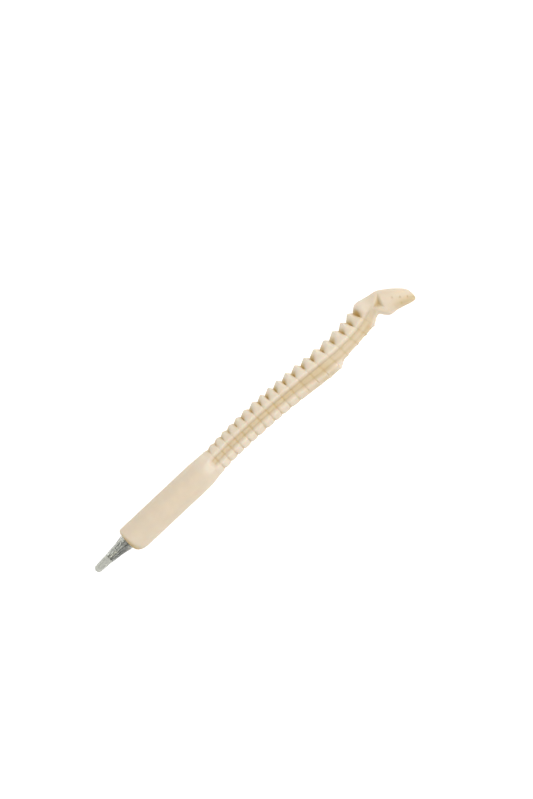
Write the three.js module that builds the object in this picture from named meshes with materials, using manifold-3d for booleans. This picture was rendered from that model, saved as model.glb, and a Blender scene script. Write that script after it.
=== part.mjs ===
// A novelty ballpoint pen with a bone for a barrel: a plain round grip that grows into a backbone and ends in
// a bent sacrum. The barrel is two moulded half shells, welded along the pen's plane of symmetry. A clear nib
// cone plugs into its mouth and carries the metal point, the ink tube and the soft guard over the ball.
//
// The pen lies on its side. In the pen's own frame x runs along the grip from the tip of the guard to the
// sacrum, y points out of the bone's back and z across it. All lengths are in millimetres.

import * as THREE from 'three';
import { mergeVertices } from 'three/addons/utils/BufferGeometryUtils.js';
import Module from 'manifold-3d';

const wasm = await Module();
wasm.setup();

// ---------------------------------------------------------------- driving dimensions

const MOUTH = 18.2; // x of the barrel's flat front face
const GRIP_RADIUS = 6.5;
const GRIP_EDGE_BACK = [1.4, 1.8]; // rounding of the front face on the back: along the grip, and in from it
const GRIP_EDGE_BELLY = [5.4, 3.5]; // and on the belly
const REFILL_Y = 0.7; // the refill lies this far towards the back from the grip's axis

const FIRST_GAP = 69.1; // x of the disc gap before the first whole vertebra
const VERTEBRA_LENGTHS = [ // along x, from the grip to the sacrum
  3.95, 3.8, 3.75, 4.05, 4.0, 4.7, 4.8, 4.05, 4.6, 4.85, 5.15, 5.15, 5.15, 5.75, 5.65, 6.1, 5.05, 4.85,
];
const SACRAL_LENGTH = 4.2; // the sacrum's first segment, whose far side runs on into the head
const VALLEY_DEPTH = [0.6, 1.8]; // between spinous processes, at the grip and at the sacrum
const PROCESS_PEAK = 0.7; // where a spinous process peaks, as a share of its vertebra from the grip's side

const RECESS_DEPTH = 0.8; // of the round recess in the mouth, which takes the nib cone's collar
const BORE_RADIUS = 3.2; // behind it, for the cone's plug
const BORE_END = 28.4;
const TUBE_WAY_RADIUS = 1.85; // what the ink tube passes through
const TUBE_WAY_END = 112;
const HOLLOW_RADIUS = 4.3; // the cored-out grip
const HOLLOWS = [[30, 43.2], [44.8, 58]]; // x of each cored-out length, with a rib left between them
const SPINE_HOLLOW = [116.5, 157]; // x of the cored-out backbone
const PIN_RADIUS = 0.6;
const PIN_LENGTH = 1.4; // out of the seam's plane
const PIN_ROOT = 0.8; // and into the lower shell
const PIN_CLEARANCE = 0.08;
const PINS = [[24, -4.7], [61, -4.1], [114.3, -1.2], [167.5, -1.2]]; // x, y of the moulded locating pins
const SEAM = 0.1; // width of the weld seam between the shells

const GUARD_END = 7.9;
const CONE_FRONT = 8.0;
const CONE_COLLAR = 3.45; // radius of the collar that sits in the mouth's recess
const CONE_PLUG = 3.02;
const CONE_PLUG_END = 27;
const CONE_STEPS = 24; // facets round the cone and the bore it sits in: every other edge is a flute
const CONE_FLUTE = 0.06; // depth of each flute, as a share of the radius
const POINT_RADIUS = 1.15; // the metal point's shank
const POINT_END = 12;
const BALL_RADIUS = 0.5;
const BALL_X = 2.45;
const TUBE_RADIUS = 1.5;
const TUBE_BORE = 1.0;
const TUBE_SPAN = [12.3, 109];
const INK_END = 90;
const GREASE_END = 95;
const FIT = 0.05; // radial clearance of the assembled pieces

const SKIN_ANGLES = [0, 12, 28, 45, 58, 70, 82, 103, 122, 140, 160, 180]; // degrees from back to belly
const LATHE_STEPS = 16; // round the small turned pieces

// The bone's centre line and its reach at each point of it: x, y, back, belly, side, and how many degrees the
// section's back is tilted towards the grip.
const BONE = [
  [MOUTH, 0, GRIP_RADIUS, GRIP_RADIUS, GRIP_RADIUS, 0],
  [32, 0, GRIP_RADIUS, GRIP_RADIUS, GRIP_RADIUS, 0],
  [46, 0, GRIP_RADIUS, GRIP_RADIUS, GRIP_RADIUS, 0],
  [58, 0, GRIP_RADIUS, GRIP_RADIUS, GRIP_RADIUS, 0],
  [62.5, 0.05, 6.3, 6.2, 6.4, 0],
  [67, 0.35, 5.85, 5.8, 5.95, 1],
  [75.5, 0.65, 6.15, 5.5, 5.6, 1],
  [86, 0.7, 6.7, 5.5, 5.6, 0],
  [96, 0.5, 7.15, 5.55, 5.7, 0],
  [105, 0, 7.5, 5.45, 5.8, 1],
  [114, -0.55, 7.7, 5.7, 6.0, 2.5],
  [124, -1.2, 7.7, 6.05, 6.2, 4],
  [131.5, -1.65, 7.85, 6.15, 6.3, 6],
  [134.2, -1.75, 7.9, 5.5, 6.1, 6.5],
  [137, -1.8, 7.95, 4.15, 5.8, 7],
  [145, -1.6, 8.15, 3.6, 5.4, 12],
  [150.5, -1.0, 8.15, 3.7, 5.2, 16],
  [155, -0.1, 8.2, 4.1, 5.2, 16],
  [158, 0.7, 7.6, 3.2, 5.2, 12],
  [160.3, 1.1, 6.5, 3.1, 5.5, 6],
  [162.1, 1.2, 5.8, 5.2, 6.0, 2],
  [163.8, 1.0, 5.65, 6.45, 6.35, 0],
  [165.5, 0.5, 5.85, 6.35, 6.5, 0],
  [167.2, -0.2, 5.8, 5.7, 6.45, 0],
  [168.8, -1.0, 5.5, 5.3, 6.2, 0],
  [170.5, -1.8, 5.15, 4.95, 5.8, 0],
  [172.2, -2.7, 4.7, 4.55, 5.2, 0],
  [173.9, -3.6, 4.0, 4.15, 4.4, 0],
  [175.3, -4.4, 3.4, 3.5, 3.4, 0],
  [176.3, -5.0, 2.4, 2.6, 2.2, 0],
  [176.75, -5.3, 0.9, 1.0, 0.9, 0],
];
const LOBES_FULL_X = 67.9; // the grip has turned into vertebrae here
const LOBES_END_X = 159.0; // and the vertebrae turn into the sacrum
const NECK_X = 161.5;
const HEAD_START_X = 163.4;
const HEAD_SQUARENESS = 2.8; // of the sacrum's sections: 2 is an ellipse
const PLATE_SQUARENESS = 3.5; // of its first segment's back
const NECK_SQUARENESS = 2.5; // what the belly's side of the neck has on top
const RIDGE_SQUARENESS = 1.6; // of a spinous process's sections
const PIT = { x: 163.3, y: 2.1, halfLength: 1.6, halfHeight: 2.1, depth: 1.4 }; // in each side of the sacrum

// ---------------------------------------------------------------- small helpers

const clamp = (v, low, high) => Math.min(high, Math.max(low, v));
const mix = (a, b, t) => a + (b - a) * t;
const smoothstep = (a, b, v) => {
  const t = clamp((v - a) / (b - a), 0, 1);
  return t * t * (3 - 2 * t);
};
const bell = (v, width) => Math.exp(-((v / width) ** 2));

// How far an ellipse, or a squarer oval, reaches at an angle that is 0 towards the back.
function ovalReach(angle, side, height, squareness = 2) {
  const across = (Math.abs(Math.sin(angle)) / side) ** squareness;
  return (across + (Math.abs(Math.cos(angle)) / height) ** squareness) ** (-1 / squareness);
}

// ---------------------------------------------------------------- the bone's centre line

const curveThrough = (points) => new THREE.CatmullRomCurve3(points, false, 'catmullrom', 0.5);
const centreLine = curveThrough(BONE.map(([x, y]) => new THREE.Vector3(x, y, 0)));
const reachLine = curveThrough(BONE.map(([, , back, belly, side]) => new THREE.Vector3(back, belly, side)));
const tiltLine = curveThrough(BONE.map(([, , , , , tilt]) => new THREE.Vector3(tilt, 0, 0)));
centreLine.arcLengthDivisions = 2000;
const BONE_LENGTH = centreLine.getLength();

// The centre line's point, the section's direction to the back, and its reach, at a distance from the mouth.
function stationAt(distance) {
  const t = centreLine.getUtoTmapping(0, distance);
  const tilt = THREE.MathUtils.degToRad(tiltLine.getPoint(t).x);
  const back = new THREE.Vector3(-Math.sin(tilt), Math.cos(tilt), 0);
  return { point: centreLine.getPoint(t), back, reach: reachLine.getPoint(t) };
}

// The distance along the centre line at which it passes a given x.
function distanceAtX(x) {
  let low = 0;
  let high = BONE_LENGTH;
  for (let i = 0; i < 40; i += 1) {
    const middle = (low + high) / 2;
    if (stationAt(middle).point.x < x) low = middle;
    else high = middle;
  }
  return (low + high) / 2;
}

// The disc gaps, as distances along the centre line. A short vertebra before the first fades into the grip.
function discGaps() {
  const xs = [FIRST_GAP - VERTEBRA_LENGTHS[0], FIRST_GAP];
  for (const length of VERTEBRA_LENGTHS) xs.push(xs.at(-1) + length);
  return xs.map(distanceAtX);
}
const GAPS = discGaps();
const SPINE_START = GAPS[0];
const SPINE_END = GAPS.at(-1);

// Where a distance falls in its vertebra: 0 and 1 at its two disc gaps, and 0.5 in its middle.
function phaseAt(distance) {
  if (distance <= SPINE_START) return 0.5;
  if (distance >= SPINE_END) return Math.min(PROCESS_PEAK, (distance - SPINE_END) / SACRAL_LENGTH);
  const k = GAPS.findLastIndex((gap) => gap <= distance);
  return (distance - GAPS[k]) / (GAPS[k + 1] - GAPS[k]);
}

// ---------------------------------------------------------------- the bone's skin

const LOBES_FULL = distanceAtX(LOBES_FULL_X);
const LOBES_END = distanceAtX(LOBES_END_X);
const NECK = distanceAtX(NECK_X);
const HEAD_START = distanceAtX(HEAD_START_X);

// How far the skin lies from the centre line at an angle, 0 towards the back and PI towards the belly.
function skinRadius(distance, angle) {
  const { x: high, y: low, z: side } = stationAt(distance).reach;
  const neck = Math.cos(angle) < 0 ? NECK_SQUARENESS * bell(distance - NECK, 2) : 0;
  const squareness = mix(2, HEAD_SQUARENESS, smoothstep(LOBES_END, HEAD_START, distance)) + neck;
  const plain = ovalReach(angle, side, Math.cos(angle) > 0 ? high : low, squareness);
  const belly = ((1 - Math.cos(angle)) / 2) ** 2;
  const [length, depth] = GRIP_EDGE_BACK.map((back, i) => mix(back, GRIP_EDGE_BELLY[i], belly));
  const edge = depth * (1 - Math.sqrt(1 - clamp(1 - distance / length, 0, 1) ** 2));
  const sooner = smoothstep(1.6, 2.1, angle); // the belly's side of the last lobes ends before the back's
  const pastSpine = smoothstep(LOBES_END - 4 * sooner, HEAD_START - 3.4 * sooner, distance);
  const lobed = smoothstep(SPINE_START, LOBES_FULL, distance) * (1 - pastSpine);
  return mix(plain - edge, lobed > 0 ? vertebraRadius(distance, angle, high, low, side) : 0, lobed);
}

// A vertebra's section: a spinous process and laminae on the back, a flat channel on each side, and a body on
// the belly.
function vertebraRadius(distance, angle, high, low, side) {
  const share = clamp((distance - SPINE_START) / (SPINE_END - SPINE_START), 0, 1);
  const far = smoothstep(0.42, 0.72, share);
  const phase = phaseAt(distance);
  const fromMiddle = Math.abs(2 * phase - 1);
  const peak = mix(0.5, PROCESS_PEAK, smoothstep(0.15, 0.45, share));
  const fromPeak = phase < peak ? (peak - phase) / peak : (phase - peak) / (1 - peak);

  const squareness = mix(RIDGE_SQUARENESS, PLATE_SQUARENESS, smoothstep(SPINE_END, LOBES_END, distance));
  const ridge = ovalReach(angle, 1.03 * side, high, squareness);
  const bottom = mix(...VALLEY_DEPTH, smoothstep(0, 0.55, share)) * (1 - 0.8 * smoothstep(0.45, 1.1, angle));
  const sharpness = mix(1.15, 2.6, smoothstep(0.35, 0.9, angle));
  const process = ridge - bottom * fromPeak ** sharpness - 0.12 * bell(1 - fromMiddle, 0.12);

  const disc = mix(0.25, 0.15, far) * bell(1 - fromMiddle, 0.2);
  const wallShare = mix(0.65, 0.95, smoothstep(SPINE_END - 1, HEAD_START, distance));
  const wall = (wallShare * side) / Math.max(Math.sin(angle), 0.5) - disc;

  const block = 0.1 - 0.25 * fromMiddle ** 4 - 0.3 * bell(1 - fromMiddle, 0.26);
  const notch = 0.65 * bell(1 - fromMiddle, 0.1) * (1 - smoothstep(2.3, 2.9, angle));
  const spool = 0.5 * fromMiddle ** 6 - 0.1 - notch;
  const body = ovalReach(angle, side, low) + mix(block, spool, far);

  const archPart = 1 - smoothstep(1.14, 1.5, angle);
  const rim = 1.78 + 0.17 * far + 0.2 * smoothstep(0.72, 0.85, share);
  const bodyPart = smoothstep(rim, rim + 0.38, angle);
  return mix(mix(wall, process, archPart), body, bodyPart);
}

// How deep the pit goes in below a point of the skin.
function pitDepth(x, y, height) {
  const off = ((x - PIT.x) / PIT.halfLength) ** 2 + ((y - PIT.y) / PIT.halfHeight) ** 2;
  return PIT.depth * Math.exp(-(off ** 2)) * smoothstep(0.3, 2.5, height);
}

// ---------------------------------------------------------------- meshes and solids

// A closed mesh from rings of points, each closed by a fan at the middle of its first and last ring.
function closedRings(rings) {
  const positions = [];
  const index = [];
  const count = rings[0].length;
  for (const ring of rings) for (const p of ring) positions.push(p.x, p.y, p.z);
  for (let i = 0; i + 1 < rings.length; i += 1) {
    for (let j = 0; j < count; j += 1) {
      const a = i * count + j;
      const b = i * count + ((j + 1) % count);
      index.push(a, a + count, b, b, a + count, b + count);
    }
  }
  [0, rings.length - 1].forEach((i, last) => {
    const middle = new THREE.Vector3();
    rings[i].forEach((p) => middle.addScaledVector(p, 1 / count));
    const centre = positions.length / 3;
    positions.push(middle.x, middle.y, middle.z);
    for (let j = 0; j < count; j += 1) {
      const a = i * count + j;
      const b = i * count + ((j + 1) % count);
      index.push(...(last ? [centre, b, a] : [centre, a, b]));
    }
  });
  return new THREE.BufferGeometry()
    .setAttribute('position', new THREE.Float32BufferAttribute(positions, 3))
    .setIndex(index);
}

// Rings round the bone's centre line at the given distances, from a radius for each distance and angle. The
// angles run from the back, 0, to the belly, PI, and are mirrored on the other side.
function boneRings(distances, angles, radiusAt, sinkAt = () => 0) {
  return distances.map((distance) => {
    const { point, back } = stationAt(distance);
    const skinPoint = (angle, side) => {
      const radius = radiusAt(distance, angle);
      const p = point.clone().addScaledVector(back, radius * Math.cos(angle));
      const height = radius * Math.sin(angle);
      return p.setZ(side * (height - sinkAt(p.x, p.y, height)));
    };
    const inner = angles.slice(1, -1);
    return [skinPoint(0, 0), ...inner.map((angle) => skinPoint(angle, -1)), skinPoint(Math.PI, 0),
      ...inner.toReversed().map((angle) => skinPoint(angle, 1))];
  });
}

// A solid of revolution about the refill's axis, from a closed outline of [x, radius, flute] points. Where a
// point has a flute, every other edge round the axis is pressed in by that share of the radius.
function turned(outline, steps = LATHE_STEPS) {
  const closed = [...outline, outline[0]];
  const geometry = new THREE.LatheGeometry(closed.map(([x, radius]) => new THREE.Vector2(radius, x)), steps);
  geometry.rotateZ(-Math.PI / 2);
  const position = geometry.getAttribute('position');
  for (let i = 0; i < position.count; i += 1) {
    const [, , flute = 0] = closed[i % closed.length];
    const column = Math.floor(i / closed.length) % steps;
    const scale = column % 2 ? 1 - flute : 1;
    position.setY(i, position.getY(i) * scale);
    position.setZ(i, position.getZ(i) * scale);
  }
  geometry.translate(0, REFILL_Y, 0);
  return geometry;
}

function solidOf(geometry) {
  const bare = geometry.clone();
  bare.deleteAttribute('normal');
  bare.deleteAttribute('uv');
  const merged = mergeVertices(bare, 1e-4);
  const triangles = [];
  const { array } = merged.index;
  for (let i = 0; i < array.length; i += 3) {
    const [a, b, c] = [array[i], array[i + 1], array[i + 2]];
    if (a !== b && b !== c && c !== a) triangles.push(a, b, c);
  }
  return new wasm.Manifold(new wasm.Mesh({
    numProp: 3,
    vertProperties: merged.getAttribute('position').array,
    triVerts: new Uint32Array(triangles),
  }));
}

function geometryOf(solid) {
  const mesh = solid.getMesh();
  const geometry = new THREE.BufferGeometry()
    .setAttribute('position', new THREE.BufferAttribute(mesh.vertProperties, 3))
    .setIndex(new THREE.BufferAttribute(mesh.triVerts, 1));
  return geometry;
}

// ---------------------------------------------------------------- the barrel

// Distances of the skin's rings: close together at the mouth's edge and in each vertebra.
function skinDistances() {
  const mouth = [0, 0.12, 0.5, 1.2, 2.8, GRIP_EDGE_BELLY[0]];
  const grip = [32, 58, 60.5, 63.5].map(distanceAtX);
  const distances = [...mouth, ...grip];
  const phases = [0, 0.12, 0.4, 0.63, 0.88];
  for (let k = 0; k + 1 < GAPS.length; k += 1) {
    for (const phase of phases) distances.push(mix(GAPS[k], GAPS[k + 1], phase));
  }
  const headSteps = 18;
  for (let i = 0; i <= headSteps; i += 1) {
    distances.push(mix(SPINE_END, BONE_LENGTH, Math.sin((i / headSteps) * 1.35) / Math.sin(1.35)));
  }
  return distances;
}

function boneSolid() {
  const angles = SKIN_ANGLES.map(THREE.MathUtils.degToRad);
  return solidOf(closedRings(boneRings(skinDistances(), angles, skinRadius, pitDepth)));
}

// Everything cored out of the barrel: the mouth, the ink tube's way, the hollow grip and the hollow backbone.
function boneHollows() {
  const recess = [[MOUTH - 1, CONE_COLLAR + FIT], [MOUTH + RECESS_DEPTH, CONE_COLLAR + FIT]];
  const bore = [[MOUTH + RECESS_DEPTH, BORE_RADIUS], [BORE_END, BORE_RADIUS], [BORE_END, TUBE_WAY_RADIUS]];
  const outline = [[MOUTH - 1, 0], ...recess, ...bore];
  for (const [start, end] of HOLLOWS) {
    outline.push([start, TUBE_WAY_RADIUS], [start, HOLLOW_RADIUS]);
    outline.push([end, HOLLOW_RADIUS], [end, TUBE_WAY_RADIUS]);
  }
  outline.push([TUBE_WAY_END, TUBE_WAY_RADIUS], [TUBE_WAY_END, 0]);
  const [from, to] = SPINE_HOLLOW.map(distanceAtX);
  const hollowSteps = 9;
  const distances = Array.from({ length: hollowSteps + 1 }, (_, i) => mix(from, to, i / hollowSteps));
  const hollowRadius = (distance, angle) => {
    const { reach } = stationAt(distance);
    return ovalReach(angle, 0.4 * reach.z, 0.5 * (Math.cos(angle) > 0 ? reach.x : reach.y));
  };
  const angles = [0, 30, 60, 90, 120, 150, 180].map(THREE.MathUtils.degToRad);
  const hollowRings = boneRings(distances, angles, hollowRadius);
  return solidOf(turned(outline, CONE_STEPS)).add(solidOf(closedRings(hollowRings)));
}

// The pins, or the holes for them, as solids.
function locatingPins(radius, length) {
  return PINS.map(([x, y]) => {
    const pin = new THREE.CylinderGeometry(radius, radius, length + PIN_ROOT, 10);
    pin.rotateX(Math.PI / 2);
    pin.translate(x, y, (length - PIN_ROOT) / 2);
    return solidOf(pin);
  });
}

function barrelShells() {
  const barrel = boneSolid().subtract(boneHollows());
  const reach = 400;
  const halfSpace = (sign) => {
    const box = new THREE.BoxGeometry(reach, reach, reach / 2);
    box.translate(0, 0, sign * (reach / 4 + SEAM / 2));
    return solidOf(box);
  };
  let upper = barrel.intersect(halfSpace(1));
  let lower = barrel.intersect(halfSpace(-1));
  const pins = locatingPins(PIN_RADIUS, PIN_LENGTH);
  const holes = locatingPins(PIN_RADIUS + PIN_CLEARANCE, PIN_LENGTH + 0.3);
  for (const pin of pins) lower = lower.add(pin);
  for (const hole of holes) upper = upper.subtract(hole);
  return { upper: geometryOf(upper), lower: geometryOf(lower) };
}

// ---------------------------------------------------------------- the refill

// The clear cone: a fluted, flared nose, a collar in the mouth's recess and a plug, with a stepped bore.
function nibCone() {
  const seat = MOUTH + RECESS_DEPTH - 0.1;
  const shoulder = POINT_END + 0.15;
  return turned([
    [CONE_FRONT, 2.2], [10.5, 2.38, CONE_FLUTE], [13, 2.62, CONE_FLUTE], [15, 2.95, CONE_FLUTE],
    [16.6, 3.33, CONE_FLUTE], [17.3, CONE_COLLAR], [seat, CONE_COLLAR], [seat, CONE_PLUG],
    [CONE_PLUG_END - 0.8, CONE_PLUG], [CONE_PLUG_END, CONE_PLUG - 0.35], [CONE_PLUG_END, TUBE_RADIUS + FIT],
    [shoulder, TUBE_RADIUS + FIT], [shoulder, POINT_RADIUS + FIT], [CONE_FRONT, POINT_RADIUS + FIT],
  ], CONE_STEPS);
}

// The metal point: a shank in the cone, a tapered nose, and a seat that holds the ball with clearance.
function pointSocket() {
  const rim = BALL_X - 0.25;
  const outside = [[rim, 0.57], [rim + 0.4, 0.7], [4.2, 0.84], [4.4, 0.94], [7.6, POINT_RADIUS]];
  const seat = [[BALL_X + 0.55, 0.3], [BALL_X + 0.4, 0.46], [BALL_X, 0.56], [rim, 0.49]];
  return turned([...outside, [POINT_END, POINT_RADIUS], [POINT_END, 0.3], ...seat]);
}

function pointBall() {
  const ball = new THREE.SphereGeometry(BALL_RADIUS, LATHE_STEPS, 10);
  ball.translate(BALL_X, REFILL_Y, 0);
  return ball;
}

function inkTube() {
  const [start, end] = TUBE_SPAN;
  return turned([[start, TUBE_BORE], [start, TUBE_RADIUS], [end, TUBE_RADIUS], [end, TUBE_BORE]]);
}

// The ink fills the tube behind the point and the fine bore through the point.
function inkColumn() {
  const thread = 0.22;
  const radius = TUBE_BORE - FIT;
  return turned([
    [BALL_X + 0.7, 0], [BALL_X + 0.7, thread], [POINT_END + 0.15, thread], [TUBE_SPAN[0] + 0.1, radius],
    [INK_END, radius], [INK_END, 0],
  ]);
}

function greaseFollower() {
  const start = INK_END + 0.1;
  const radius = TUBE_BORE - FIT;
  return turned([[start, 0], [start, radius], [GREASE_END, radius], [GREASE_END, 0]]);
}

// Soft cap over the point: a rounded end, a slight taper and a blind bore that grips the point.
function tipGuard() {
  const round = 1.75;
  const outline = [];
  const arcSteps = 6;
  for (let i = 0; i <= arcSteps; i += 1) {
    const turn = (i / arcSteps) * (Math.PI / 2);
    outline.push([round * (1 - Math.cos(turn)), round * Math.sin(turn)]);
  }
  outline.push([GUARD_END, 2.05], [GUARD_END, POINT_RADIUS + 2 * FIT], [4.2, 1.0], [1.8, 0.68], [1.55, 0]);
  return turned(outline, 20);
}

// ---------------------------------------------------------------- the pen

const bonePlastic = new THREE.MeshStandardMaterial({ color: 0xe2d3ba, roughness: 0.55, metalness: 0 });
const smokePlastic = new THREE.MeshStandardMaterial({ color: 0xb4b5a4, roughness: 0.2, metalness: 0 });
const guardPlastic = new THREE.MeshStandardMaterial({ color: 0xc8c9be, roughness: 0.35, metalness: 0 });
const tubePlastic = new THREE.MeshStandardMaterial({ color: 0xdcdcd4, roughness: 0.3, metalness: 0 });
const ink = new THREE.MeshStandardMaterial({ color: 0x111214, roughness: 0.25, metalness: 0 });
const grease = new THREE.MeshStandardMaterial({ color: 0xd8d2b8, roughness: 0.2, metalness: 0 });
const nickelSilver = new THREE.MeshStandardMaterial({ color: 0xb9b6ad, roughness: 0.3, metalness: 1 });
const carbide = new THREE.MeshStandardMaterial({ color: 0x8c8c8c, roughness: 0.15, metalness: 1 });

const pen = new THREE.Group();
function piece(name, geometry, material) {
  const mesh = new THREE.Mesh(geometry, material);
  mesh.name = name;
  pen.add(mesh);
}

const shells = barrelShells();
piece('barrel_shell_upper', shells.upper, bonePlastic);
piece('barrel_shell_lower', shells.lower, bonePlastic);
piece('nib_cone', nibCone(), smokePlastic);
piece('point_socket', pointSocket(), nickelSilver);
piece('point_ball', pointBall(), carbide);
piece('ink_tube', inkTube(), tubePlastic);
piece('ink_column', inkColumn(), ink);
piece('grease_follower', greaseFollower(), grease);
piece('tip_guard', tipGuard(), guardPlastic);

// The part's origin is under the middle of the pen, on the surface it lies on.
const box = new THREE.Box3().setFromObject(pen);
pen.position.set(-(box.min.x + box.max.x) / 2, -(box.min.y + box.max.y) / 2, -box.min.z);

const part = new THREE.Group();
part.add(pen);
export default part;
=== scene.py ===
"""Ballpoint pen with a barrel moulded as a backbone: the visual model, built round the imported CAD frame.

The pen lies on its side. Its own axes have x along the grip from the guard's tip to the sacrum, y out of the
bone's back and z across it, all in millimetres; Place turns those into the shared frame's metres.
"""

import math

import bpy
import numpy as np
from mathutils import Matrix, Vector, kdtree


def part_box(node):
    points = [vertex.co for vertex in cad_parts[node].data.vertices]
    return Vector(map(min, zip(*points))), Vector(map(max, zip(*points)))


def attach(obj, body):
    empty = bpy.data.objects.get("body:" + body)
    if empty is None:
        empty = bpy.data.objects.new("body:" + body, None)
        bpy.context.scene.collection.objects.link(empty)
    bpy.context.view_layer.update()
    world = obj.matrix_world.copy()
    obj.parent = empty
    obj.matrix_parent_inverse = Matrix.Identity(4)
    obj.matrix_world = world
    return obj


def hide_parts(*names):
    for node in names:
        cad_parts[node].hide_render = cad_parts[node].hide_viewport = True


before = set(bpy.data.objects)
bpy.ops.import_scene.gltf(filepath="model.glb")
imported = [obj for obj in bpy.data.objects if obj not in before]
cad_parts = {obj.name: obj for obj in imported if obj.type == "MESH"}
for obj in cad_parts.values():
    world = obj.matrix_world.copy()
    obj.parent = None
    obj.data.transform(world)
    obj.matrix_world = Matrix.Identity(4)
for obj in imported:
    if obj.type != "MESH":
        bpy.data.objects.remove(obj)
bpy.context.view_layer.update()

# ---------------------------------------------------------------- sizes of the barrel, in millimetres

MOUTH = 18.2  # x of the barrel's flat front face
GRIP_RADIUS = 6.5
GRIP_EDGE_BACK = (1.4, 1.8)  # the front face's rounded edge on the back: along the grip, and in from it
GRIP_EDGE_BELLY = (5.4, 3.5)  # and on the belly
GRIP_END = 60  # x where the plain grip starts to turn into the backbone

FIRST_GAP = 69.1  # x of the disc gap before the first whole vertebra
VERTEBRA_LENGTHS = [  # along x, from the grip to the sacrum
    3.95, 3.8, 3.75, 4.05, 4.0, 4.7, 4.8, 4.05, 4.6, 4.85, 5.15, 5.15, 5.15, 5.75, 5.65, 6.1, 5.05, 4.85,
]
SACRAL_LENGTH = 4.2  # the sacrum's first segment, whose far side runs on into the head
PROCESS_PEAK = 0.7  # where a spinous process peaks, as a share of its vertebra from the grip's side
VALLEY_DEPTH = (0.6, 1.8)  # of the valleys between the processes: near the grip, and further on
VALLEY_SHARPNESS = (1.15, 2.6)  # the power by which they deepen away from a peak: on the ridge, on its flank
CHANNEL_WALL = (0.65, 0.95)  # the channel's wall as a share of the reach to the side: spine, and sacrum
CHANNEL_LINE = (0.25, 0.15)  # depth of its line at each disc: near the grip, and further on
ARCH_EDGE = (1.14, 1.5)  # the angles from the back, in radians, where the laminae give way to the channel
BODY_EDGE, BODY_EDGE_WIDTH = 1.78, 0.38  # the angle where the bodies start, and over how much they rise
BELLY_SOONER = (4, 3.4)  # the lobes start to end, and end, this much sooner on the belly's side

RECESS_RADIUS, RECESS_DEPTH = 3.5, 0.8  # the round recess in the mouth
BORE_RADIUS, BORE_END = 3.2, 28.4
TUBE_WAY_RADIUS, TUBE_WAY_END = 1.85, 112
HOLLOW_RADIUS = 4.3  # the cored-out grip
HOLLOWS = [(30, 43.2), (44.8, 58)]
SPINE_HOLLOW = (116.5, 157)  # x of the cored-out backbone
SPINE_HOLLOW_SIDE, SPINE_HOLLOW_HEIGHT = 0.4, 0.5  # its reach as a share of the skin's
PINS = [(24, -4.7), (61, -4.1), (114.3, -1.2), (167.5, -1.2)]  # x, y of the moulded locating pins
PIN_RADIUS, PIN_LENGTH, PIN_ROOT, PIN_CHAMFER = 0.6, 1.4, 0.8, 0.12
PIN_CLEARANCE, PIN_HOLE_ROOM = 0.08, 0.3  # round the pin, and beyond its end
SEAM = 0.1  # width of the weld seam between the shells
SEAM_GROOVE = 0.07  # how far the skin dips into it

# The bone's centre line and its reach: x, y, back, belly, side, and how many degrees the section's back is
# tilted towards the grip.
BONE = np.array([
    [MOUTH, 0, GRIP_RADIUS, GRIP_RADIUS, GRIP_RADIUS, 0],
    [32, 0, GRIP_RADIUS, GRIP_RADIUS, GRIP_RADIUS, 0],
    [46, 0, GRIP_RADIUS, GRIP_RADIUS, GRIP_RADIUS, 0],
    [58, 0, GRIP_RADIUS, GRIP_RADIUS, GRIP_RADIUS, 0],
    [62.5, 0.05, 6.3, 6.2, 6.4, 0],
    [67, 0.35, 5.85, 5.8, 5.95, 1],
    [75.5, 0.65, 6.15, 5.5, 5.6, 1],
    [86, 0.7, 6.7, 5.5, 5.6, 0],
    [96, 0.5, 7.15, 5.55, 5.7, 0],
    [105, 0, 7.5, 5.45, 5.8, 1],
    [114, -0.55, 7.7, 5.7, 6.0, 2.5],
    [124, -1.2, 7.7, 6.05, 6.2, 4],
    [131.5, -1.65, 7.85, 6.15, 6.3, 6],
    [134.2, -1.75, 7.9, 5.5, 6.1, 6.5],
    [137, -1.8, 7.95, 4.15, 5.8, 7],
    [145, -1.6, 8.15, 3.6, 5.4, 12],
    [150.5, -1.0, 8.15, 3.7, 5.2, 16],
    [155, -0.1, 8.2, 4.1, 5.2, 16],
    [158, 0.7, 7.6, 3.2, 5.2, 12],
    [160.3, 1.1, 6.5, 3.1, 5.5, 6],
    [162.1, 1.2, 5.8, 5.2, 6.0, 2],
    [163.8, 1.0, 5.65, 6.45, 6.35, 0],
    [165.5, 0.5, 5.85, 6.35, 6.5, 0],
    [167.2, -0.2, 5.8, 5.7, 6.45, 0],
    [168.8, -1.0, 5.5, 5.3, 6.2, 0],
    [170.5, -1.8, 5.15, 4.95, 5.8, 0],
    [172.2, -2.7, 4.7, 4.55, 5.2, 0],
    [173.9, -3.6, 4.0, 4.15, 4.4, 0],
    [175.3, -4.4, 3.4, 3.5, 3.4, 0],
    [176.3, -5.0, 2.4, 2.6, 2.2, 0],
    [176.75, -5.3, 0.9, 1.0, 0.9, 0],
])
HEAD_SQUARENESS = 2.8  # of the sacrum's sections: 2 is an ellipse
PLATE_SQUARENESS = 3.5  # of its first segment's back
NECK_SQUARENESS = 2.5  # what the belly's side of the neck has on top
RIDGE_SQUARENESS = 1.6  # of the spinous processes' sections

PIT_CORNERS = [(160.8, 1.8), (163.4, -0.3), (164.9, 4.2)]  # x, y of the triangular pit in the sacrum's side
PIT_DEPTH = 1.4
FORAMINA = [  # x, y, half length, half height, depth of the small marks in the sacrum's side
    (168.7, -0.5, 0.36, 0.5, 0.3),
    (171.4, -2.6, 0.42, 0.5, 0.36),
    (173.9, -4.6, 0.45, 0.4, 0.3),
    (170.1, -4.9, 0.5, 0.5, 0.2),
]

# ---------------------------------------------------------------- sizes of refill and guard, in millimetres

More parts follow.
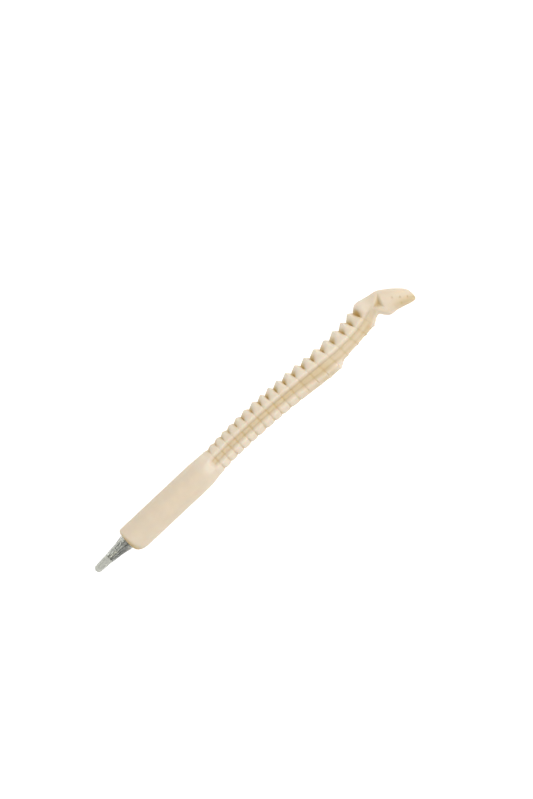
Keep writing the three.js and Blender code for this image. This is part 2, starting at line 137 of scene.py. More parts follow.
REFILL_Y = 0.7  # the refill lies this far towards the back from the grip's axis
FIT = 0.05  # the gap round a piece in its bore
CONE_NOSE = [(8, 2.2), (10.5, 2.38), (13, 2.62), (15, 2.95), (16.6, 3.33), (17.3, 3.44)]  # x, radius
CONE_FLUTES, FLUTE_DEPTH = 12, 0.075  # the depth is a share of the radius
CONE_COLLAR = 3.45  # radius of the collar in the mouth's recess
PLUG_RADIUS, PLUG_RIB_RADIUS, PLUG_END = 3.02, 3.1, 27
PLUG_RIBS = (20.6, 22.6, 24.6)  # x of the ribs that hold the plug in its bore
BALL_X, BALL_RADIUS = 2.45, 0.5
POINT_RADIUS, POINT_END = 1.15, 12.0
SHOULDER = POINT_END + 0.15  # x of the step in the cone's bore, between the point and the tube
TUBE_RADIUS, TUBE_BORE = 1.5, 1.0
TUBE_START, TUBE_END = 12.3, 109.0
INK_THREAD = 0.22  # radius of the ink in the point
INK_END, INK_HOLLOW = 90.0, 0.35  # and how hollow its end face is
GREASE_END, GREASE_HOLLOW = 95.0, 0.3
GUARD_DOME, GUARD_REAR = 1.75, 7.9


# ---------------------------------------------------------------- helpers

def mix(a, b, t):
    return a + (b - a) * t


def smoothstep(low, high, v):
    t = np.clip((v - low) / (high - low), 0, 1)
    return t * t * (3 - 2 * t)


def bell(v, width):
    return np.exp(-(v / width) ** 2)


class Place:
    """Turns the pen's own millimetres into the shared frame's metres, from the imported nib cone's place."""

    def __init__(self):
        low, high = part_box("nib_cone")
        self.x = high.x - PLUG_END / 1000
        self.y = (low.y + high.y) / 2 - REFILL_Y / 1000
        self.z = (low.z + high.z) / 2

    def __call__(self, points):
        return np.asarray(points, float) / 1000 + [self.x, self.y, self.z]


place = Place()


# ---------------------------------------------------------------- the bone's centre line

def spline(rows, per_span=60):
    """Catmull-Rom through the rows, sampled evenly in each span."""
    padded = np.vstack([2 * rows[0] - rows[1], rows, 2 * rows[-1] - rows[-2]])
    t = np.linspace(0, 1, per_span, endpoint=False)[:, None]
    out = []
    for a, b, c, d in zip(padded, padded[1:], padded[2:], padded[3:]):
        m0, m1 = (c - a) / 2, (d - b) / 2
        out.append((2 * t**3 - 3 * t**2 + 1) * b + (t**3 - 2 * t**2 + t) * m0
                   + (3 * t**2 - 2 * t**3) * c + (t**3 - t**2) * m1)
    return np.vstack([*out, rows[-1:]])


FINE = spline(BONE)
DISTANCE = np.concatenate([[0], np.cumsum(np.hypot(*np.diff(FINE[:, :2], axis=0).T))])
BONE_LENGTH = DISTANCE[-1]


def along_bone(distance, column):
    return np.interp(distance, DISTANCE, FINE[:, column])


def distance_at_x(x):
    return np.interp(x, FINE[:, 0], DISTANCE)


GAPS = distance_at_x(FIRST_GAP + np.cumsum([-VERTEBRA_LENGTHS[0], VERTEBRA_LENGTHS[0], *VERTEBRA_LENGTHS]))
SPINE_START, SPINE_END = GAPS[0], GAPS[-1]
LOBES_FULL = distance_at_x(67.9)  # the vertebrae stand out fully from here
LOBES_END = distance_at_x(159.0)  # and fade from here
HEAD_START = distance_at_x(163.4)  # to here
NECK = distance_at_x(161.5)  # the middle of the neck


def section_axes(distance):
    """The section's direction to the bone's back at each distance."""
    tilt = np.radians(along_bone(distance, 5))
    return np.stack([-np.sin(tilt), np.cos(tilt)], -1)


def section_points(distances, angles, radius):
    """x, y and z round the centre line: a row for each distance, a column for each angle, as in radius."""
    axes = section_axes(distances)[:, None, :]
    up = radius * np.cos(angles)
    x = along_bone(distances[:, None], 0) + up * axes[..., 0]
    y = along_bone(distances[:, None], 1) + up * axes[..., 1]
    return x, y, radius * np.sin(angles)


def phase_at(distance):
    """0 and 1 at a vertebra's two disc gaps, 0.5 in its middle."""
    k = np.clip(np.searchsorted(GAPS, distance, side="right") - 1, 0, len(GAPS) - 2)
    phase = (distance - GAPS[k]) / (GAPS[k + 1] - GAPS[k])
    sacral = np.minimum(PROCESS_PEAK, (distance - SPINE_END) / SACRAL_LENGTH)
    phase = np.where(distance >= SPINE_END, sacral, phase)
    return np.where(distance <= SPINE_START, 0.5, phase)


# ---------------------------------------------------------------- the bone's skin

def ellipse_reach(angle, side, height, squareness=2):
    """Reach of an ellipse at an angle from its height's axis; squareness above 2 fills its corners."""
    across = (np.abs(np.sin(angle)) / side) ** squareness
    return (across + (np.abs(np.cos(angle)) / height) ** squareness) ** (-1 / squareness)


def vertebra_radius(distance, angle, high, low, side):
    """A vertebra's section: spinous process and laminae on the back, a flat channel, a body on the belly."""
    share = np.clip((distance - SPINE_START) / (SPINE_END - SPINE_START), 0, 1)
    far = smoothstep(0.42, 0.72, share)
    phase = phase_at(distance)
    from_middle = np.abs(2 * phase - 1)
    peak = mix(0.5, PROCESS_PEAK, smoothstep(0.15, 0.45, share))
    from_peak = np.where(phase < peak, (peak - phase) / peak, (phase - peak) / (1 - peak))

    # spinous process and laminae: a blunt ridge that widens down to the laminae
    squareness = mix(RIDGE_SQUARENESS, PLATE_SQUARENESS, smoothstep(SPINE_END, LOBES_END, distance))
    process = ellipse_reach(angle, 1.03 * side, high, squareness)
    grown = smoothstep(0, 0.55, share)
    valley = mix(*VALLEY_DEPTH, grown) * (1 - 0.8 * smoothstep(0.45, 1.1, angle))
    sharpness = mix(*VALLEY_SHARPNESS, smoothstep(0.35, 0.9, angle))
    process = process - valley * from_peak**sharpness - 0.12 * bell(1 - from_middle, 0.12)

    # the channel: a flat wall with a faint line at each disc, which rises to the skin at the sacrum
    wall_share = mix(*CHANNEL_WALL, smoothstep(SPINE_END - 1, HEAD_START, distance))
    wall = wall_share * side / np.maximum(np.sin(angle), 0.5)
    wall = wall - mix(*CHANNEL_LINE, far) * bell(1 - from_middle, 0.2)

    # the body: a rounded block near the grip, waisted with flared rims near the sacrum
    block = 0.1 - 0.25 * from_middle**4 - 0.3 * bell(1 - from_middle, 0.26)
    spool_line = 0.65 * bell(1 - from_middle, 0.1) * (1 - smoothstep(2.3, 2.9, angle))
    spool = 0.5 * from_middle**6 - 0.1 - spool_line
    body = ellipse_reach(angle, side, low) + mix(block, spool, far)

    arch_part = 1 - smoothstep(*ARCH_EDGE, angle)
    edge = BODY_EDGE + 0.17 * far + 0.2 * smoothstep(0.72, 0.85, share)
    body_part = smoothstep(edge, edge + BODY_EDGE_WIDTH, angle)
    radius = mix(wall, process, arch_part)
    return mix(radius, body, body_part)


def skin_radius(distance, angle):
    """How far the skin lies from the centre line; an angle is 0 towards the back and pi towards the belly."""
    high, low, side = (along_bone(distance, column) for column in (2, 3, 4))
    squareness = mix(2, HEAD_SQUARENESS, smoothstep(LOBES_END, HEAD_START, distance))
    squareness = squareness + NECK_SQUARENESS * bell(distance - NECK, 2) * (np.cos(angle) < 0)
    radius = ellipse_reach(angle, side, np.where(np.cos(angle) > 0, high, low), squareness)

    # the rounded edge of the front face, a quarter of an ellipse
    edge = np.clip((1 - np.cos(angle)) / 2, 0, 1) ** 2
    length, depth = (mix(back, belly, edge) for back, belly in zip(GRIP_EDGE_BACK, GRIP_EDGE_BELLY))
    inside = np.clip(1 - distance / length, 0, 1)
    radius = radius - depth * (1 - np.sqrt(1 - inside**2))

    sooner = smoothstep(1.6, 2.1, angle)
    ended = smoothstep(LOBES_END - BELLY_SOONER[0] * sooner, HEAD_START - BELLY_SOONER[1] * sooner, distance)
    lobed = smoothstep(SPINE_START, LOBES_FULL, distance) * (1 - ended)
    return mix(radius, vertebra_radius(distance, angle, high, low, side), lobed)


def inside_triangle(x, y, corners):
    """Distance inside the nearest side of a triangle given anticlockwise; negative outside."""
    depth = np.full(x.shape, np.inf)
    for (ax, ay), (bx, by) in zip(corners, corners[1:] + corners[:1]):
        length = math.hypot(bx - ax, by - ay)
        depth = np.minimum(depth, ((bx - ax) * (y - ay) - (by - ay) * (x - ax)) / length)
    return depth


def foramina_depth(x, y):
    """How deep the small marks in the sacrum's side are at each point."""
    return sum(depth * np.exp(-(((x - mark_x) / half_x) ** 2) - ((y - mark_y) / half_y) ** 2)
               for mark_x, mark_y, half_x, half_y, depth in FORAMINA)


def skin_points(distances, angles):
    """Points on the upper half of the bone's skin: a row for each distance, a column for each angle."""
    radius = skin_radius(distances[:, None], angles[None, :])
    x, y, z = section_points(distances, angles[None, :], radius)
    room = smoothstep(0.3, 2.5, z)
    z = z - PIT_DEPTH * smoothstep(-0.9, 1.3, inside_triangle(x, y, PIT_CORNERS)) * room
    z = z - foramina_depth(x, y) * room
    return np.stack([x, y, z], -1)


def skin_distances():
    """Distances of the skin's rings: close at the mouth's edge and at each disc gap."""
    grip_end = distance_at_x(GRIP_END)
    mouth = np.concatenate([[0, 0.03, 0.08], np.linspace(0.16, GRIP_EDGE_BELLY[0], 24)])
    grip = np.linspace(GRIP_EDGE_BELLY[0], grip_end, 30)[1:-1]
    junction = np.linspace(grip_end, SPINE_START, 14)[:-1]
    steps = 0.5 - 0.5 * np.cos(np.linspace(0, np.pi, 17)[:-1])
    vertebrae = [mix(a, b, steps) for a, b in zip(GAPS, GAPS[1:])]
    head = SPINE_END + (BONE_LENGTH - SPINE_END) * np.sin(np.linspace(0, 1, 150) * np.pi / 2)
    return np.concatenate([mouth, grip, junction, *vertebrae, head])


# ---------------------------------------------------------------- painted shade in the bone's hollows and painted light on its plate

PAINTED_SHADE_ALONG, PAINTED_SHADE_ACROSS = 1.4, 0.8  # painted shade for each millimetre that a hollow lies below its surroundings, painted light where the skin stands above them
PAINTED_LIGHT_PLATE, PAINTED_SHADE_BODIES, PAINTED_SHADE_HEAD = -0.7, 0.7, 0.6  # what these parts of the bone have on top of that: painted light on the plate, painted shade on the last bodies and the head's belly side
# painted shade in the pit and in the small marks
PAINTED_SHADE_PIT, PAINTED_SHADE_MARKS = 1.1, 1.6
PAINTED_SHADE_BODIES_SPAN = (distance_at_x(131) - 30, distance_at_x(137))  # where the bodies' painted shade starts and is full
PAINTED_SHADE_HEAD_SPAN = (distance_at_x(166.0) - 2, distance_at_x(166.0) + 6)  # and where the head's belly side gets its painted shade


def painted_shading_at(distances, angles, points):
    """How much painted shade each point of the skin gets: deep in hollows, in the pit and on the last bodies;
    painted light, below zero, on the plate and raised parts.
    """
    centre = np.stack([along_bone(distances, 0), along_bone(distances, 1), 0 * distances], -1)
    reach = np.linalg.norm(points - centre[:, None, :], axis=-1)

    def blur(places, width, ahead=0.0):
        """Weights that average over the neighbours of each place."""
        weights = bell(places[:, None] + ahead - places[None, :], width) * np.gradient(places)[None, :]
        return weights / weights.sum(1, keepdims=True)

    def beyond(low, high):
        return smoothstep(low, high, distances)[:, None]

    def round_from(low, high):
        return smoothstep(low, high, angles)[None, :]

    # painted shade where the skin lies below its neighbours, along the bone and round it; painted light where
    # it stands above them
    along = np.clip(blur(distances, 2.2, 1.5) @ reach - reach, -0.7, 1.0)
    across = np.clip(reach @ blur(angles, 0.55).T - reach, -1, 0.65)
    on_spine = 1 - beyond(LOBES_END - 4, HEAD_START)
    # painted light on the sacrum's plate, in place of the hollows' painted shade
    plate = beyond(SPINE_END + 1.5, SPINE_END + 3.5) * (1 - round_from(1.0, 1.3)) * on_spine
    neck = beyond(LOBES_END - 10, LOBES_END - 2) * round_from(1.0, 1.3)
    lobes = on_spine * (1 - plate) * (1 - 0.75 * neck) * (PAINTED_SHADE_ALONG * along + PAINTED_SHADE_ACROSS * across)
    # painted shade on the last bodies, less on the belly
    bodies = beyond(*PAINTED_SHADE_BODIES_SPAN) * round_from(1.8, 2.2) * (1 - beyond(SPINE_END - 2, SPINE_END + 1))
    bodies = bodies * (1 - 0.6 * round_from(2.5, 3.1))
    # painted shade on the head's belly side
    head = beyond(*PAINTED_SHADE_HEAD_SPAN) * round_from(1.4, 2.2)
    x, y = points[..., 0], points[..., 1]
    # painted shade in the pit and the small marks
    marks = PAINTED_SHADE_PIT * smoothstep(-0.6, 1.1, inside_triangle(x, y, PIT_CORNERS))
    marks = marks + PAINTED_SHADE_MARKS * foramina_depth(x, y)
    return lobes + PAINTED_LIGHT_PLATE * plate + PAINTED_SHADE_BODIES * bodies + PAINTED_SHADE_HEAD * head + marks


def mark_painted_shading(obj, skin, painted_shading):
    """Give each vertex the painted shade and light of the nearest point of the skin."""
    tree = kdtree.KDTree(len(skin))
    for i, p in enumerate(skin):
        tree.insert(p, i)
    tree.balance()
    nearest = [tree.find(v.co)[1] for v in obj.data.vertices]
    attribute = obj.data.attributes.new("painted_shading", "FLOAT", "POINT")
    attribute.data.foreach_set("value", painted_shading[nearest])


# ---------------------------------------------------------------- meshes

def add_object(name, vertices, faces, sharp_degrees=38):
    """A smooth-shaded object from points in the pen's millimetres, with sharp edges kept crisp."""
    mesh = bpy.data.meshes.new(name)
    mesh.from_pydata([tuple(v) for v in place(vertices)], [], faces)
    mesh.shade_smooth()
    mesh.set_sharp_from_angle(angle=math.radians(sharp_degrees))
    obj = bpy.data.objects.new(name, mesh)
    bpy.context.scene.collection.objects.link(obj)
    return obj


def closed_grid(rings):
    """Vertices and faces of a closed skin from rings of points, with a fan over the first and last ring."""
    count, columns = rings.shape[:2]
    vertices = np.vstack([rings.reshape(-1, 3), rings[0].mean(0)[None], rings[-1].mean(0)[None]])
    first, last = count * columns, count * columns + 1
    faces = []
    for i in range(count - 1):
        for j in range(columns):
            k = (j + 1) % columns
            faces.append((i * columns + j, i * columns + k, (i + 1) * columns + k, (i + 1) * columns + j))
    for j in range(columns):
        k = (j + 1) % columns
        faces.append((first, k, j))
        faces.append((last, (count - 1) * columns + j, (count - 1) * columns + k))
    return vertices, faces


def filleted(corners, steps=4):
    """Outline points (x, radius) from corners (x, radius, fillet); a corner without a fillet stays sharp."""
    out = []
    for i, (x, radius, *fillet) in enumerate(corners):
        here = np.array([x, radius], float)
        if not fillet:
            out.append(here)
            continue
        before = np.array(corners[i - 1][:2]) - here
        after = np.array(corners[(i + 1) % len(corners)][:2]) - here
        start = here + before / np.hypot(*before) * fillet[0]
        end = here + after / np.hypot(*after) * fillet[0]
        for t in np.linspace(0, 1, steps + 1):
            out.append((1 - t) ** 2 * start + 2 * t * (1 - t) * here + t**2 * end)
    return np.array(out)


def lathe(name, outline, steps=72, flute=None):
    """A solid turned about the refill's axis from a closed outline; flute scales the radius round a turn."""
    turns = np.arange(steps) * 2 * np.pi / steps
    vertices, rings = [], []
    for x, radius in outline:
        if radius < 1e-6:  # on the axis, where one vertex is enough
            rings.append([len(vertices)] * steps)
            vertices.append((x, REFILL_Y, 0))
            continue
        reach = radius * (flute(x, radius, turns) if flute else np.ones(steps))
        rings.append(list(range(len(vertices), len(vertices) + steps)))
        vertices.extend(zip([x] * steps, REFILL_Y + reach * np.cos(turns), reach * np.sin(turns)))
    faces = []
    for a, b in zip(rings, rings[1:] + rings[:1]):
        for j in range(steps):
            k = (j + 1) % steps
            corners = list(dict.fromkeys([a[j], a[k], b[k], b[j]]))
            if len(corners) > 2:
                faces.append(corners)
    return add_object(name, vertices, faces)


def carve(obj, cutter, operation):
    """Join the cutter to the object or take it away from it, then drop the cutter."""
    modifier = obj.modifiers.new("carve", "BOOLEAN")
    modifier.solver = "MANIFOLD"
    modifier.operation = operation
    modifier.object = cutter
    depsgraph = bpy.context.evaluated_depsgraph_get()
    carved = bpy.data.meshes.new_from_object(obj.evaluated_get(depsgraph))
    obj.modifiers.clear()
    obj.data = carved
    bpy.data.objects.remove(cutter)


# ---------------------------------------------------------------- the barrel

def pin_cylinder(name, x, y, radius, length):
    """A chamfered cylinder across the seam's plane, rooted in the lower shell."""
    turns = np.arange(40) * 2 * np.pi / 40
    sections = [(-PIN_ROOT, radius), (length - PIN_CHAMFER, radius), (length, radius - PIN_CHAMFER)]
    rings = [np.stack([x + r * np.cos(turns), y - r * np.sin(turns), z + 0 * turns], -1) for z, r in sections]
    return add_object(name, *closed_grid(np.array(rings)))


def barrel_cores():
    """Solids of everything cored out of the barrel."""
    outline = [(MOUTH - 1, 0), (MOUTH - 1, RECESS_RADIUS), (MOUTH + RECESS_DEPTH, RECESS_RADIUS),
               (MOUTH + RECESS_DEPTH, BORE_RADIUS), (BORE_END, BORE_RADIUS), (BORE_END, TUBE_WAY_RADIUS)]
    for start, end in HOLLOWS:
        outline += [(start, TUBE_WAY_RADIUS), (start, HOLLOW_RADIUS), (end, HOLLOW_RADIUS),
                    (end, TUBE_WAY_RADIUS)]
    outline += [(TUBE_WAY_END, TUBE_WAY_RADIUS), (TUBE_WAY_END, 0)]
    turned = lathe("turned_core", np.array(outline, float))

    distances = np.linspace(*(distance_at_x(x) for x in SPINE_HOLLOW), 40)
    angles = np.linspace(0, 2 * np.pi, 49)[None, :-1]
    high, low, side = (along_bone(distances[:, None], column) for column in (2, 3, 4))
    height = SPINE_HOLLOW_HEIGHT * np.where(np.cos(angles) > 0, high, low)
    radius = ellipse_reach(angles, SPINE_HOLLOW_SIDE * side, height)
    rings = np.stack(section_points(distances, angles, radius), -1)
    return turned, add_object("spine_core", *closed_grid(rings[:, ::-1]))


def half_shell(name, side):
    """One moulded half of the barrel: side is 1 for the upper and -1 for the lower shell."""
    distances, angles = skin_distances(), np.linspace(0, np.pi, 97)
    half = skin_points(distances, angles)
    # painted shade in the hollows and painted light on the plate, which the bone's colour follows
    painted_shading = painted_shading_at(distances, angles, half)
    for column, inward in ((0, -1), (-1, 1)):
        half[:, column, :2] += SEAM_GROOVE * inward * section_axes(distances)
    half[..., 2] = np.maximum(half[..., 2], SEAM / 2)
    rings = half * [1, 1, side]
    shell = add_object(name, *closed_grid(rings if side < 0 else rings[:, ::-1]))
    for core in barrel_cores():
        carve(shell, core, "DIFFERENCE")
    for x, y in PINS:
        if side > 0:
            hole = pin_cylinder("hole", x, y, PIN_RADIUS + PIN_CLEARANCE, PIN_LENGTH + PIN_HOLE_ROOM)
            carve(shell, hole, "DIFFERENCE")
        else:
            carve(shell, pin_cylinder("pin", x, y, PIN_RADIUS, PIN_LENGTH), "UNION")
    shell.data.shade_smooth()
    shell.data.set_sharp_from_angle(angle=math.radians(50))
    mark_painted_shading(shell, place(rings.reshape(-1, 3)), painted_shading.reshape(-1))
    return shell


# ---------------------------------------------------------------- the refill and the guard

def nib_cone():
    """The fluted nose, the collar in the mouth's recess and the ribbed plug, with a stepped bore."""
    front, front_radius = CONE_NOSE[0]
    nose = [(front, front_radius, 0.12)]
    for x in np.linspace(8.8, 17.1, 18):
        nose.append((x, np.interp(x, *zip(*CONE_NOSE))))
    seat = MOUTH + RECESS_DEPTH - 0.1
    collar = [(17.35, CONE_COLLAR, 0.06), (seat, CONE_COLLAR, 0.08), (seat, PLUG_RADIUS, 0.06)]
    plug = []
    for x in PLUG_RIBS:
        plug += [(x, PLUG_RADIUS), (x + 0.25, PLUG_RIB_RADIUS, 0.1), (x + 0.75, PLUG_RIB_RADIUS, 0.1),
                 (x + 1.0, PLUG_RADIUS)]
    bore = [(PLUG_END, PLUG_RADIUS, 0.35), (PLUG_END, TUBE_RADIUS + FIT, 0.1), (SHOULDER, TUBE_RADIUS + FIT),
            (SHOULDER, POINT_RADIUS + FIT), (front, POINT_RADIUS + FIT, 0.1)]

    def flute(x, radius, turns):
        outside = radius > 1.8
        depth = FLUTE_DEPTH * smoothstep(8.6, 9.6, x) * (1 - smoothstep(16.2, 17.3, x)) * outside
        return 1 - depth * (0.5 - 0.5 * np.cos(CONE_FLUTES * turns)) ** 1.5

    obj = lathe("nib_cone_clear", filleted([*nose, *collar, *plug, *bore]), 192, flute)
    # a mask for the painted shade on the cone's belly side: 1 low down, fading to 0 below the axis
    low = place((0, REFILL_Y - CONE_COLLAR, 0))[1]
    high = place((0, REFILL_Y + CONE_COLLAR, 0))[1]
    belly_side = obj.data.attributes.new("belly_side", "FLOAT", "POINT")
    heights = np.array([(v.co.y - low) / (high - low) for v in obj.data.vertices])
    belly_side.data.foreach_set("value", 1 - smoothstep(0.3, 0.5, heights))
    return obj


def point_socket():
    rim = BALL_X - 0.25
    corners = [(rim, 0.57, 0.04), (rim + 0.4, 0.7, 0.1), (4.2, 0.84), (4.4, 0.94, 0.05), (7.6, 1.1),
               (7.7, 1.0, 0.04), (8.0, 1.0, 0.04), (8.1, POINT_RADIUS, 0.04), (POINT_END, POINT_RADIUS, 0.1),
               (POINT_END, 0.3), (BALL_X + 0.55, 0.3), (BALL_X + 0.4, 0.46), (BALL_X, 0.56), (rim, 0.49)]
    return lathe("point_socket_turned", filleted(corners))


def point_ball():
    turns = np.linspace(0, np.pi, 33)
    outline = np.stack([BALL_X - BALL_RADIUS * np.cos(turns), BALL_RADIUS * np.sin(turns)], -1)
    return lathe("point_ball_polished", outline, 64)


def ink_tube():
    corners = [(TUBE_START, TUBE_BORE, 0.08), (TUBE_START, TUBE_RADIUS, 0.12), (TUBE_END, TUBE_RADIUS, 0.1),
               (TUBE_END, TUBE_BORE, 0.1)]
    return lathe("ink_tube_drawn", filleted(corners), 64)


def meniscus(x, depth, radius, steps=8):
    """Points of a hollow end face, from the wall to the axis."""
    reach = np.linspace(radius, 0, steps)
    return [(x - depth * (1 - (r / radius) ** 2), r) for r in reach]


def ink_column():
    start, radius = BALL_X + 0.7, TUBE_BORE - FIT
    outline = [(start, 0), (start, INK_THREAD), (SHOULDER, INK_THREAD), (TUBE_START + 0.1, radius),
               *meniscus(INK_END, INK_HOLLOW, radius)]
    return lathe("ink_column_filled", np.array(outline), 48)


def grease_follower():
    radius = TUBE_BORE - FIT
    front = [(x + 0.1, r) for x, r in reversed(meniscus(INK_END, INK_HOLLOW, radius))]
    return lathe("grease_follower_gel", np.array([*front, *meniscus(GREASE_END, GREASE_HOLLOW, radius)]), 48)


def tip_guard():
    turns = np.linspace(0, np.pi / 2, 13)
    dome = [(GUARD_DOME * (1 - math.cos(t)), GUARD_DOME * math.sin(t)) for t in turns]
    side = [(4.6, 1.895), (4.75, 1.93), (4.9, 1.91), (7.3, 2.03), (GUARD_REAR, 2.05, 0.12)]
    bore = [(GUARD_REAR, POINT_RADIUS + 2 * FIT, 0.1), (4.2, 1.0), (1.8, 0.68), (1.6, 0.4), (1.55, 0)]
    return lathe("tip_guard_soft", filleted([*dome, *side, *bore]), 96)


# ---------------------------------------------------------------- materials

def srgb(red, green, blue):
    """Linear colour from 8-bit sRGB values."""
    values = np.array([red, green, blue]) / 255
    return (*np.where(values <= 0.04045, values / 12.92, ((values + 0.055) / 1.055) ** 2.4), 1.0)


def grey(value):
    return (value, value, value, 1.0)


class Finish:
    """A material on one Principled shader, with helpers for what varies over the surface."""

    def __init__(self, name, **sockets):
        self.material = bpy.data.materials.new(name)
        self.material.use_nodes = True
        self.tree = self.material.node_tree
        self.shader = self.tree.nodes["Principled BSDF"]
        for socket, value in sockets.items():
            self.shader.inputs[socket.replace("_", " ")].default_value = value

    def node(self, kind, **inputs):
        node = self.tree.nodes.new(kind)
        for socket, value in inputs.items():
            socket = node.inputs[socket.replace("_", " ")]
            if isinstance(value, bpy.types.NodeSocket):
                self.tree.links.new(value, socket)
            else:
                socket.default_value = value
        return node

    def noise(self, scale, detail=3.0, stretch=(1, 1, 1)):
        """Noise over the piece, in waves per metre."""
        coords = self.node("ShaderNodeTexCoord").outputs["Object"]
        mapping = self.node("ShaderNodeMapping", Vector=coords, Scale=stretch).outputs["Vector"]
        node = self.node("ShaderNodeTexNoise", Vector=mapping, Scale=scale, Detail=detail)
        return node.outputs["Fac"]

    def attribute(self, name):
        node = self.node("ShaderNodeAttribute")
        node.attribute_name = name
        return node.outputs["Fac"]

    def ramp(self, factor, *stops):
        node = self.node("ShaderNodeValToRGB", Fac=factor)
        elements = node.color_ramp.elements
        while len(elements) < len(stops):
            elements.new(0.5)
        for element, (position, colour) in zip(elements, stops):
            element.position, element.color = position, colour
        return node.outputs["Color"]

    def ranged(self, value, low, high, to_low, to_high):
        node = self.node("ShaderNodeMapRange", Value=value, From_Min=low, From_Max=high, To_Min=to_low,
                         To_Max=to_high)
        return node.outputs["Result"]

    def multiplied(self, first, second):
        """The product of two colours."""
        node = self.tree.nodes.new("ShaderNodeMix")
        node.data_type, node.blend_type = "RGBA", "MULTIPLY"
        node.inputs["Factor"].default_value = 1.0
        self.tree.links.new(first, node.inputs[6])
        self.tree.links.new(second, node.inputs[7])
        return node.outputs[2]

    def feed(self, socket, output):
        self.tree.links.new(output, self.shader.inputs[socket])

    def grain(self, noise, dark, light, roughness):
        """Colour and roughness that follow a noise, from its low to its high values."""
        self.feed("Base Color", self.ramp(noise, (0.3, dark), (0.7, light)))
        self.feed("Roughness", self.ranged(noise, 0.3, 0.7, *roughness))

    def bump(self, height, distance, strength=1.0):
        """Relief of this many metres from a height that varies from 0 to 1."""
        node = self.node("ShaderNodeBump", Height=height, Distance=distance, Strength=strength)
        self.feed("Normal", node.outputs["Normal"])


def bone_plastic():
    finish = Finish("bone_plastic_moulded", Subsurface_Weight=0.35, Subsurface_Scale=0.0018, IOR=1.46,
                    Subsurface_Radius=(1.0, 0.62, 0.35), Specular_IOR_Level=0.22)
    # the colour darkens with the painted shade in the hollows, pit, marks, last bodies and head, and lightens
    # with the painted light on the plate and raised parts
    painted_shading = finish.ranged(finish.attribute("painted_shading"), -1.0, 1.6, 0.0, 1.0)
    tint = finish.ramp(painted_shading, (0.12, srgb(240, 227, 206)), (0.38, srgb(232, 216, 192)),
                       (0.62, srgb(216, 195, 156)), (0.95, srgb(203, 170, 108)))
    mottle = finish.ramp(finish.noise(260, 4.0), (0.3, grey(0.955)), (0.7, grey(1.0)))
    finish.feed("Base Color", finish.multiplied(tint, mottle))
    finish.feed("Roughness", finish.ranged(finish.noise(900, 4.0), 0.3, 0.7, 0.40, 0.52))
    finish.bump(finish.noise(2600, 2.0), 0.000025)
    return finish.material


def smoke_plastic():
    finish = Finish("smoke_plastic_clear", Transmission_Weight=0.8, IOR=1.49)
    streaks = finish.noise(900, 2.0, (0.04, 1, 1))
    tint = finish.ramp(streaks, (0.35, srgb(190, 192, 184)), (0.65, srgb(242, 244, 236)))
    # painted shade: the clear cone is darker towards its belly side
    painted_belly_shade = finish.ramp(finish.attribute("belly_side"), (0.0, grey(1.0)), (1.0, grey(0.5)))
    finish.feed("Base Color", finish.multiplied(tint, painted_belly_shade))
    finish.feed("Roughness", finish.ranged(streaks, 0.3, 0.7, 0.10, 0.22))
    finish.bump(finish.noise(1500, 2.0, (0.2, 1, 1)), 0.00002)
    return finish.material


def guard_plastic():
    finish = Finish("guard_plastic_soft", Transmission_Weight=0.4, IOR=1.42)
    finish.grain(finish.noise(500, 3.0), srgb(218, 219, 208), srgb(228, 229, 220), (0.34, 0.44))
    finish.bump(finish.noise(2200, 2.0), 0.00001)
    return finish.material


def grained(finish, noise, dark, light, roughness, relief):
    """A material whose colour, roughness and relief all follow one noise."""
    finish.grain(noise, dark, light, roughness)
    finish.bump(noise, relief)
    return finish.material


def tube_plastic():
    finish = Finish("tube_plastic_drawn", Transmission_Weight=0.8, IOR=1.5)
    draw_lines = finish.noise(900, 2.0, (0.02, 1, 1))
    return grained(finish, draw_lines, srgb(222, 224, 218), srgb(240, 241, 236), (0.18, 0.3), 0.00001)


def ink():
    finish = Finish("ink_black", IOR=1.45)
    return grained(finish, finish.noise(700, 3.0), srgb(16, 16, 22), srgb(30, 30, 42), (0.12, 0.22), 0.00001)


def grease():
    finish = Finish("grease_amber", Transmission_Weight=0.6, IOR=1.47)
    swirl = finish.noise(900, 3.0)
    return grained(finish, swirl, srgb(214, 196, 140), srgb(232, 218, 172), (0.15, 0.3), 0.00002)


def nickel_silver():
    finish = Finish("nickel_silver_turned", Metallic=1.0)
    tool_marks = finish.noise(9000, 2.0, (1, 0.05, 0.05))
    return grained(finish, tool_marks, srgb(176, 172, 160), srgb(204, 200, 190), (0.2, 0.36), 0.000008)


def carbide():
    finish = Finish("carbide_lapped", Metallic=1.0)
    lapping = finish.noise(12000, 3.0)
    return grained(finish, lapping, srgb(128, 128, 132), srgb(152, 152, 156), (0.08, 0.2), 0.000003)


# ---------------------------------------------------------------- the pen

def finish_piece(piece, material, body, node):
    piece.data.materials.clear()
    piece.data.materials.append(material)
    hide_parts(node)
    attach(piece, body)


bone = bone_plastic()
finish_piece(half_shell("barrel_upper", 1), bone, "barrel", "barrel_shell_upper")
finish_piece(half_shell("barrel_lower", -1), bone, "barrel", "barrel_shell_lower")
finish_piece(nib_cone(), smoke_plastic(), "refill", "nib_cone")
finish_piece(point_socket(), nickel_silver(), "refill", "point_socket")
finish_piece(point_ball(), carbide(), "ball", "point_ball")
finish_piece(ink_tube(), tube_plastic(), "refill", "ink_tube")
finish_piece(ink_column(), ink(), "refill", "ink_column")
finish_piece(grease_follower(), grease(), "refill", "grease_follower")
finish_piece(tip_guard(), guard_plastic(), "guard", "tip_guard")

# ---------------------------------------------------------------- floor, lights and camera, in metres

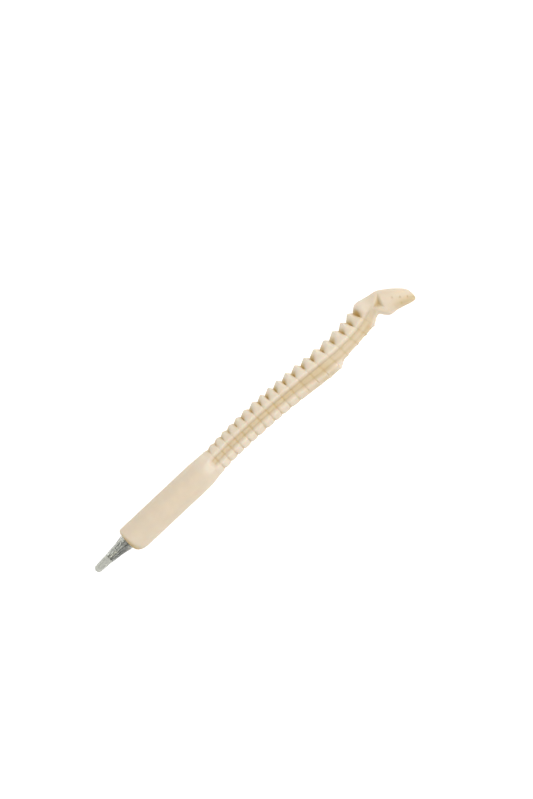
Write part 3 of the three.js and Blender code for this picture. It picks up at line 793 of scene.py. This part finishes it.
AIM = Vector(place((101.5, 4.2, 0)))  # the middle of the picture, on the pen's axis
FRAME_HEIGHT = 0.3356  # across the picture's long side, at the pen's axis
CAMERA_TURN = -43.16  # degrees from upright, about the line of sight
WORLD_LIGHT = 0.35
FLOOR_GLOW = 0.86  # the floor's own light, which keeps its shadows pale


def floor():
    mesh = bpy.data.meshes.new("floor")
    mesh.from_pydata([(x, y, 0) for x, y in ((-1, -1), (1, -1), (1, 1), (-1, 1))], [], [(0, 1, 2, 3)])
    obj = bpy.data.objects.new("floor", mesh)
    bpy.context.scene.collection.objects.link(obj)
    finish = Finish("floor_paper", Roughness=0.9, Specular_IOR_Level=0.1, Emission_Strength=FLOOR_GLOW,
                    Emission_Color=(1, 1, 1, 1))
    finish.feed("Base Color", finish.ramp(finish.noise(60, 3.0), (0.3, grey(0.5)), (0.7, grey(0.52))))
    mesh.materials.append(finish.material)


def softbox(name, offset, size, power):
    """A square area light at an offset from the pen's middle, pointing at it."""
    light = bpy.data.lights.new(name, "AREA")
    light.size, light.energy = size, power
    obj = bpy.data.objects.new(name, light)
    obj.location = AIM + Vector(offset)
    obj.rotation_euler = (-Vector(offset)).to_track_quat("-Z", "Y").to_euler()
    bpy.context.scene.collection.objects.link(obj)


def camera():
    """Straight above the pen, far enough for FRAME_HEIGHT to fill the picture."""
    data = bpy.data.cameras.new("camera")
    data.lens, data.sensor_width = 100, 36
    obj = bpy.data.objects.new("camera", data)
    obj.location = AIM + Vector((0, 0, FRAME_HEIGHT * data.lens / data.sensor_width))
    obj.rotation_euler = (0, 0, math.radians(CAMERA_TURN))
    bpy.context.scene.collection.objects.link(obj)
    bpy.context.scene.camera = obj


def studio():
    scene = bpy.context.scene
    scene.view_settings.view_transform = "Standard"
    scene.world = bpy.data.worlds.new("studio")
    scene.world.use_nodes = True
    background = scene.world.node_tree.nodes["Background"]
    background.inputs["Color"].default_value = (1, 1, 1, 1)
    background.inputs["Strength"].default_value = WORLD_LIGHT
    softbox("key", offset=(0.45, -0.1, 0.7), size=0.5, power=3.45)
    softbox("top", offset=(-0.2, 0.0, 0.9), size=0.8, power=2.9)


floor()
camera()
studio()
